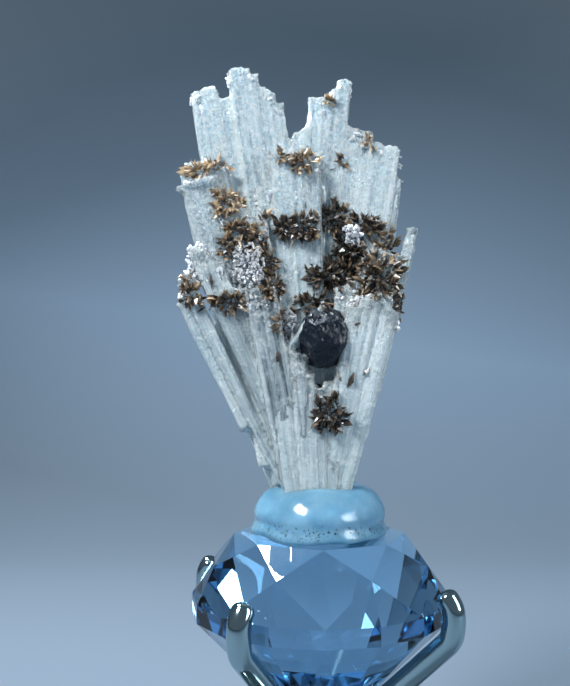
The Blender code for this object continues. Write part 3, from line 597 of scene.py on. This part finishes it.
def add_white_crystals():
    """Laths grown together into one surface, with their grain kept on it as an attribute."""
    draw = random.Random(3)
    names = [*GROUPS, *SINGLES]
    laths, rows = [], []
    for row, group in enumerate(GROUPS.values()):
        laths += group_laths(group, row)
        rows += [row] * (len(laths) - len(rows))
    for row, (tip, foot, *widths, thickness, slope, turn) in enumerate(SINGLES.values(), len(GROUPS)):
        tip_width, foot_width = (width * MM for width in widths)
        laths.append(lath(at(*tip), at(*foot), tip_width, foot_width, thickness * MM, slope, 0.5,
                          math.radians(turn)))
        rows.append(row)
    clearness = [CLEAR.get(names[row], 0.0) + draw.uniform(0.0, 0.2) for row in rows]
    owners = [index for index, (mesh, _) in enumerate(laths) for _ in mesh.faces]
    rough = add_object("laths", joined("laths", [mesh for mesh, _ in laths]))
    remesh = rough.modifiers.new("grow_together", "REMESH")
    remesh.mode = "VOXEL"
    remesh.voxel_size = VOXEL
    smooth = rough.modifiers.new("soften_steps", "SMOOTH")
    smooth.factor, smooth.iterations = 0.5, 8
    bpy.context.view_layer.update()
    graph = bpy.context.evaluated_depsgraph_get()
    tree = BVHTree.FromPolygons([vert.co for vert in rough.data.vertices],
                                [face.vertices for face in rough.data.polygons])
    data = bpy.data.meshes.new_from_object(rough.evaluated_get(graph))
    data.name = "white_crystals"
    bpy.data.objects.remove(rough, do_unlink=True)
    drop_islands(data)
    data.attributes.new("grain", "FLOAT_VECTOR", "POINT")
    # clear sets how far the colour turns dark grey: partly a smoky tone, partly painted darkness.
    data.attributes.new("clear", "FLOAT", "POINT")
    # edge drives a painted highlight along each lath's edges in the material.
    data.attributes.new("edge", "FLOAT", "POINT")
    grain, clear, edge = (data.attributes[name].data for name in ("grain", "clear", "edge"))
    normals = [normal.vector.copy() for normal in data.vertex_normals]
    for vert, normal in zip(data.vertices, normals):
        owner = owners[tree.find_nearest(vert.co)[2]]
        across, along, crest, edge[vert.index].value = find_grain(vert.co, laths[owner][1], rows[owner])
        grain[vert.index].vector = (across, along, crest)
        clear[vert.index].value = clearness[owner]
        ridges = noise.noise(Vector((across * 1.7, along * 0.07, 0.0)))
        ridges += 0.5 * noise.noise(Vector((across * 3.9, along * 0.1, 5.0)))
        lumps = noise.noise(vert.co / MM * 1.15) + 0.6 * noise.noise(vert.co / MM * 2.3) - 0.55
        vert.co += normal * (RIDGE_SIZE * ridges + LUMP_SIZE * crest * lumps)
    for face in data.polygons:
        face.use_smooth = True
    made = add_object("white_crystals", data, white_material())
    settle = made.modifiers.new("settle", "SMOOTH")
    settle.factor, settle.iterations = 0.4, 1
    dress(made, "aragonite", "aragonite_crystals")
    return made


# The sparkling knots.

def glassy_block(middle, size, draw):
    """A small six-sided crystal with a pointed end, as a bmesh."""
    mesh = bmesh.new()
    length = size * draw.uniform(0.9, 1.7)
    bmesh.ops.create_cone(mesh, cap_ends=True, segments=6, depth=length,
                          radius1=size * 0.36, radius2=size * 0.36)
    tip = max(mesh.faces, key=lambda face: face.calc_center_median().z)
    bmesh.ops.inset_region(mesh, faces=[tip], thickness=size * 0.2, depth=size * 0.16)
    turn = Matrix.Rotation(draw.uniform(0, math.pi), 4, random_vector(draw).normalized())
    mesh.transform(Matrix.Translation(middle) @ turn)
    return mesh


def tip_beads(draw):
    """Small crystals over the side of each blade's tip that shows."""
    for name, group in GROUPS.items():
        foot, thickness = group["foot"], group["thickness"]
        tallest = max(max(heights) for _, _, *heights in group["tops"])
        depth_foot, depth_tip = group["depth"]
        side = 1 if name in ("back_outer", "back_low") else -1
        for left, right, height_left, height_right in group["tops"]:
            for _ in range(round(6 * (right - left))):
                share = draw.random()
                height = height_left + (height_right - height_left) * share - 0.6 - abs(draw.gauss(0, 0.9))
                depth = depth_foot + (depth_tip - depth_foot) * (height - foot) / (tallest - foot)
                front = depth + side * thickness * 0.5 * draw.uniform(0.0, 1.05)
                place = at(left + (right - left) * share, front, height)
                yield glassy_block(place, BEAD_SIZE * draw.uniform(0.5, 1.2), draw)


def add_sparkling_knots():
    draw = random.Random(12)
    pieces = list(tip_beads(draw))
    for middle, spread, size, number in KNOTS.values():
        for _ in range(number):
            reach = random_vector(draw).normalized() * draw.random() ** 0.4
            place = [m + s * r for m, s, r in zip(middle, spread, reach)]
            pieces.append(glassy_block(at(*place), size * draw.uniform(0.6, 1.25) * MM, draw))
    made = add_object("sparkling_crystals", joined("sparkling_crystals", pieces), glassy_material())
    dress(made, "aragonite", "aragonite_crystals")


# The brown crystals.

def petal(root, direction, length, width, shade, draw):
    """A bent leaf-shaped crystal, sharp at both ends, that starts at root, as a bmesh."""
    mesh = bmesh.new()
    bmesh.ops.create_uvsphere(mesh, u_segments=4, v_segments=4, radius=0.5)
    layer = mesh.verts.layers.float.new("shade")
    bend = draw.uniform(-0.5, 0.5)
    for vert in mesh.verts:
        tip = max(0.0, vert.co.z * 2)
        vert[layer] = shade + 0.28 * tip + draw.uniform(-0.16, 0.16)
        slim = 0.45 if abs(vert.co.z) > 0.2 else 1.0
        vert.co.x *= slim * draw.uniform(0.8, 1.25)
        vert.co.y *= slim
        vert.co.y += bend * tip * tip * draw.uniform(0.8, 1.2)
    size = Matrix.Diagonal((width, width * 0.5, length, 1))
    spin = Matrix.Rotation(draw.uniform(0, math.pi), 4, "Z")
    turn = direction.to_track_quat("Z", "Y").to_matrix().to_4x4()
    mesh.transform(Matrix.Translation(root + direction * length * 0.35) @ turn @ spin @ size)
    return mesh


def surface(tree, x, height, side):
    """The point of the white crystals' surface in front of or behind (x, height), or None."""
    return tree.ray_cast(at(x, side * 30, height), Vector((0, -side, 0)))[0]


def patch_petals(tree, patch, side, draw):
    """Crystals packed over a patch: upright in its middle, and leaning outward near its edge."""
    x, height, half_x, half_z, shade = patch
    half_x, half_z = max(half_x - PETAL_MARGIN, 0.3), max(half_z - PETAL_MARGIN, 0.3)
    outward = Vector((0, side, 0))
    ragged = draw.uniform(0, 100)
    for _ in range(max(14, round(PETALS_PER_AREA * math.pi * half_x * half_z))):
        angle, reach = draw.uniform(0, 2 * math.pi), math.sqrt(draw.random())
        edge = 1 + 0.7 * noise.noise(Vector((2 * math.cos(angle), 2 * math.sin(angle), ragged)))
        around = Vector((math.cos(angle), 0, math.sin(angle)))
        out = edge * reach
        place = surface(tree, x + half_x * out * around.x, height + half_z * out * around.z, side)
        if place is None:
            continue
        direction = around * reach * 1.1 + outward * draw.uniform(0.1, 0.9) + random_vector(draw, 0.95)
        if direction.dot(outward) < 0:
            direction -= 1.6 * direction.dot(outward) * outward
        length = PETAL_LENGTH * draw.choice((0.5, 0.7, 0.9, 1.25)) * draw.uniform(0.85, 1.15)
        lighter = shade + 0.3 * (reach - 0.65) + draw.uniform(-0.22, 0.18)
        lift = outward * PETAL_LIFT * (1 - reach) * draw.random()
        width = length * draw.uniform(0.3, 0.62)
        yield petal(place + lift, direction.normalized(), length, width, lighter, draw)


def add_brown_crystals(white):
    draw = random.Random(5)
    tree = BVHTree.FromObject(white, bpy.context.evaluated_depsgraph_get())
    pieces = []
    for patches, side in ((BROWN_FRONT, -1), (BROWN_BACK, 1)):
        for patch in patches:
            pieces += patch_petals(tree, patch, side, draw)
    for x, height, angle, length in LONE_PETALS:
        place = surface(tree, x, height, -1)
        if place is None:
            continue
        angle, length = math.radians(angle), length * MM
        along = Vector((math.cos(angle), -0.15, math.sin(angle))).normalized()
        pieces.append(petal(place - along * length * 0.4, along, length, length * 0.42, LONE_SHADE, draw))
    made = add_object("brown_crystals", joined("brown_crystals", pieces), brown_material())
    dress(made, "brown_mineral", "aragonite_crystals")


# The black crystal.

def add_black_crystal():
    """A block with the crystal's faces, roughened on its upper side."""
    mesh = bmesh.new()
    bmesh.ops.create_cube(mesh, size=4.0)  # twice as large as what the faces cut from it
    for *normal, reach in BLACK_FACES:
        normal = Vector(normal).normalized()
        everything = mesh.verts[:] + mesh.edges[:] + mesh.faces[:]
        cut = bmesh.ops.bisect_plane(mesh, geom=everything, plane_co=normal * reach, plane_no=normal,
                                     clear_outer=True)
        rim = [edge for edge in cut["geom_cut"] if isinstance(edge, bmesh.types.BMEdge)]
        bmesh.ops.contextual_create(mesh, geom=rim)
    bmesh.ops.bevel(mesh, geom=mesh.edges[:], offset=0.05, segments=1, affect="EDGES")
    bmesh.ops.triangulate(mesh, faces=mesh.faces)
    for length in (0.5, 0.25, 0.12):
        long_edges = [edge for edge in mesh.edges if edge.calc_length() > length]
        bmesh.ops.subdivide_edges(mesh, edges=long_edges, cuts=1)
        bmesh.ops.triangulate(mesh, faces=mesh.faces)
    mesh.normal_update()
    moves = []
    for vert in mesh.verts:
        rough = 0.09 if vert.normal.z > 0.5 else 0.022
        moves.append(rough * (noise.noise(vert.co * 3.5) + 0.6 * noise.noise(vert.co * 9.0)))
    for vert, move in zip(mesh.verts, moves):
        vert.co += vert.normal * move
    low = Vector([min(vert.co[i] for vert in mesh.verts) for i in range(3)])
    high = Vector([max(vert.co[i] for vert in mesh.verts) for i in range(3)])
    size = Matrix.Diagonal((*[(BLACK_HIGH[i] - BLACK_LOW[i]) / (high[i] - low[i]) for i in range(3)], 1))
    mesh.transform(Matrix.Translation(BLACK_LOW) @ size @ Matrix.Translation(-low))
    made = add_object("black_crystal_detail", mesh_from("black_crystal_detail", mesh), black_material())
    dress(made, "black_mineral", "black_crystal")


# The putty.

def add_putty():
    """A soft bun with a lower rim that has spread on the gem, and a fold between them."""
    radius = PUTTY_HIGH.x
    height = PUTTY_HIGH.z - TABLE_Z + 0.3 * MM
    profile = [(0.0, 0.90), (0.30, 0.97), (0.52, 1.0), (0.66, 0.97), (0.77, 0.88), (0.86, 0.74),
               (0.925, 0.58), (0.955, 0.45), (0.955, 0.36), (0.94, 0.28), (0.96, 0.20), (0.99, 0.12),
               (0.98, 0.03), (0.88, 0.0), (0.0, 0.0)]
    mesh = spun([(r * radius, TABLE_Z + z * height) for r, z in profile], 40)
    for vert in mesh.verts:
        flat = Vector((vert.co.x, vert.co.y, 0))
        if flat.length > 0.2 * radius and vert.co.z > TABLE_Z + 0.02 * height:
            swell = 0.07 * noise.noise(vert.co * 200.0) - 0.02
            vert.co += flat * swell
            vert.co.z += 0.4 * MM * noise.noise(vert.co * 330.0)
        vert.co.z = max(vert.co.z, TABLE_Z + 0.02 * MM)
    for face in mesh.faces:
        face.smooth = True
    made = add_object("putty_bun", mesh_from("putty_bun", mesh), putty_material())
    smooth = made.modifiers.new("smooth", "SUBSURF")
    smooth.levels = smooth.render_levels = 2
    dress(made, "putty", "putty")


# The stand.

def prong_path():
    """(radius, z) points of a prong's middle, with rounded bends, from the boss to its hooked tip."""
    off = PRONG_RADIUS + PRONG_OFF_GEM
    low, girdle_low, girdle_high = FOOT_HIGH.z + PRONG_OFF_GEM, TABLE_Z - 9.0 * MM, TABLE_Z - 7.0 * MM
    slope = math.atan2(girdle_low - low, GIRDLE_RADIUS - 1.2 * MM)
    top = Vector((GIRDLE_RADIUS + off * math.sin(slope), girdle_low - off * math.cos(slope)))
    run = top.x - 3.6 * MM
    foot = top - Vector((run, run * math.tan(slope)))
    out = GIRDLE_RADIUS + off
    key = [foot, top - Vector((0.5, 0.5)) * MM, Vector((out - 0.25 * MM, top.y + 0.35 * MM)),
           Vector((out, girdle_low + 0.6 * MM)), Vector((out, girdle_high - 0.1 * MM)),
           Vector((out - 0.22 * MM, girdle_high + 0.7 * MM)),
           Vector((out - 0.75 * MM, girdle_high + 1.5 * MM))]
    return key


def add_prong(name, angle, material):
    """A wire with a round tip."""
    key = prong_path()
    curve = bpy.data.curves.new(name + "_wire", "CURVE")
    curve.dimensions = "3D"
    curve.resolution_u = 12
    curve.bevel_depth = PRONG_RADIUS
    curve.bevel_resolution = 8
    curve.use_fill_caps = True
    spline = curve.splines.new("NURBS")
    tip_direction = (key[-1] - key[-2]).normalized()
    rounding = [(step, math.sqrt(max(0.0, 1 - step * step))) for step in (0.35, 0.65, 0.85, 0.95, 1.0)]
    points = [(p, 1.0) for p in key]
    points += [(key[-1] + tip_direction * step * PRONG_RADIUS * 0.7, max(size, 0.02))
               for step, size in rounding]
    spline.points.add(len(points) - 1)
    for point, (place, size) in zip(spline.points, points):
        point.co = (place.x, 0, place.y, 1)
        point.radius = size
    spline.order_u = 3
    spline.use_endpoint_u = True
    made = add_object(name + "_wire", curve)
    made.rotation_euler = (0, 0, math.radians(angle - 90))
    curve.materials.append(material)
    dress(made, "polished_metal", name)


def add_foot(material):
    """The turned foot, from the solid's own height and radius."""
    radius, top = FOOT_HIGH.x, FOOT_HIGH.z
    profile = [(0, top), (2.2 * MM, top), (2.6 * MM, top - 0.3 * MM), (5.2 * MM, top - 2.9 * MM),
               (5.3 * MM, top - 3.4 * MM), (4.9 * MM, top - 3.9 * MM), (3.8 * MM, top - 4.3 * MM),
               (3.8 * MM, 3.4 * MM), (4.6 * MM, 2.8 * MM), (6.8 * MM, 2.3 * MM),
               (radius - 1.0 * MM, 1.65 * MM), (radius - 0.25 * MM, 1.35 * MM), (radius, 0.9 * MM),
               (radius - 0.15 * MM, 0.2 * MM), (radius - 0.5 * MM, 0), (0, 0)]
    mesh = spun(profile, 96)
    made = add_object("turned_foot", mesh_from("turned_foot", mesh), material)
    made.data.shade_smooth()
    made.data.set_sharp_from_angle(angle=math.radians(50))
    dress(made, "polished_metal", "metal_foot")


def dress_gem():
    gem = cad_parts["glass_gem"]
    gem.data.materials.clear()
    gem.data.materials.append(gem_material())


# The stage, the lights and the camera.

def add_stage():
    """A floor that sweeps up into a backdrop."""
    back, bend, tall, half = 320 * MM, 190 * MM, 2500 * MM, 4000 * MM
    mesh = bmesh.new()
    line = [(-4000 * MM, 0.0), (back - bend, 0.0)]
    line += [(back - bend + bend * math.sin(a), bend - bend * math.cos(a))
             for a in [math.pi / 2 * step / 16 for step in range(1, 17)]]
    line.append((back, tall))
    rows = [[mesh.verts.new((side, y, z)) for y, z in line] for side in (-half, half)]
    for index in range(len(line) - 1):
        mesh.faces.new((rows[0][index], rows[1][index], rows[1][index + 1], rows[0][index + 1]))
    for face in mesh.faces:
        face.smooth = True
    bmesh.ops.recalc_face_normals(mesh, faces=mesh.faces)
    floor = add_object("stage_floor", mesh_from("stage_floor", mesh), stage_material())


def add_light(name, place, target, size, power, colour):
    data = bpy.data.lights.new(name, "AREA")
    data.shape = "RECTANGLE"
    data.size, data.size_y = size
    data.energy = power
    data.color = colour
    light = add_object(name, data)
    light.location = place
    light.rotation_euler = (Vector(target) - Vector(place)).to_track_quat("-Z", "Y").to_euler()


def add_lights():
    target = (0, 0, TABLE_Z + 20 * MM)
    add_light("key", (-0.14, -0.12, 0.24), target, (0.06, 0.06), 1.5, (0.90, 0.97, 1.0))
    add_light("back_rim", (-0.07, 0.05, 0.22), target, (0.05, 0.05), 1.3, (0.88, 0.96, 1.0))
    add_light("side", (0.20, -0.10, 0.12), target, (0.07, 0.14), 0.45, (0.86, 0.95, 1.0))
    world = bpy.data.worlds.new("soft_studio")
    world.use_nodes = True
    background = world.node_tree.nodes["Background"]
    background.inputs["Color"].default_value = (0.54, 0.66, 0.80, 1)
    background.inputs["Strength"].default_value = 0.25
    bpy.context.scene.world = world


def add_camera():
    data = bpy.data.cameras.new("camera")
    data.sensor_width = 36.0
    data.lens = data.sensor_width * CAMERA_FOCAL
    data.clip_start = 0.005
    camera = add_object("camera", data)
    camera.location = (CAMERA_X, -CAMERA_DISTANCE, TABLE_Z + CAMERA_ABOVE_TABLE)
    camera.rotation_euler = (math.pi / 2 + CAMERA_TILT, 0, 0)
    bpy.context.scene.camera = camera


def main():
    white = add_white_crystals()
    add_sparkling_knots()
    add_brown_crystals(white)
    add_black_crystal()
    add_putty()
    dress_gem()
    metal = metal_material()
    for name, angle in PRONG_ANGLES.items():
        add_prong(name, angle, metal)
    add_foot(metal)
    add_stage()
    add_lights()
    add_camera()
    bpy.context.scene.view_settings.view_transform = "Standard"


main()
